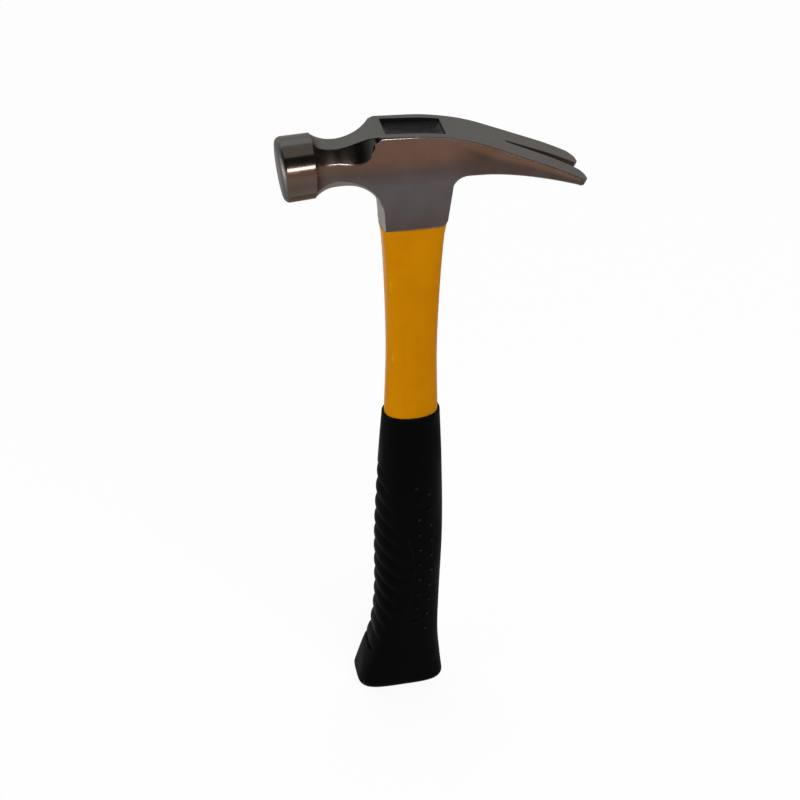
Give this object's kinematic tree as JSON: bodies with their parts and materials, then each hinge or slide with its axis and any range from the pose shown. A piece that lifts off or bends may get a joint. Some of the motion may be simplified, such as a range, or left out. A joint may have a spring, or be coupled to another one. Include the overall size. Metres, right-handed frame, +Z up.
{
  "type": "claw hammer",
  "caption": "Straight claw hammer: forged steel head with a round striking face and a split claw, resin-bonded to a glass-fibre handle in an amber jacket with a ribbed rubber grip.",
  "frame": {"origin": "on the handle's axis, in the plane of the flat butt", "axes": "+Z up along the handle to the head, +X towards the claw, -X towards the striking face, +Y to the hammer's side"},
  "size_m": [0.1388, 0.0292, 0.3314],
  "materials": {
    "steel": "satin, fine-ground cheeks, polished bell, clear lacquer",
    "resin": "dark cured epoxy, semi-matt",
    "glass_fibre": "pultruded glass-fibre rod",
    "jacket": "glossy amber-yellow moulded plastic",
    "grip": "satin black moulded rubber"
  },
  "bodies": {
    "root": {"hammer_head": "steel", "eye_epoxy": "resin", "fiberglass_core": "glass_fibre", "handle_jacket": "jacket", "rubber_grip": "grip"}
  },
  "joints": []
}
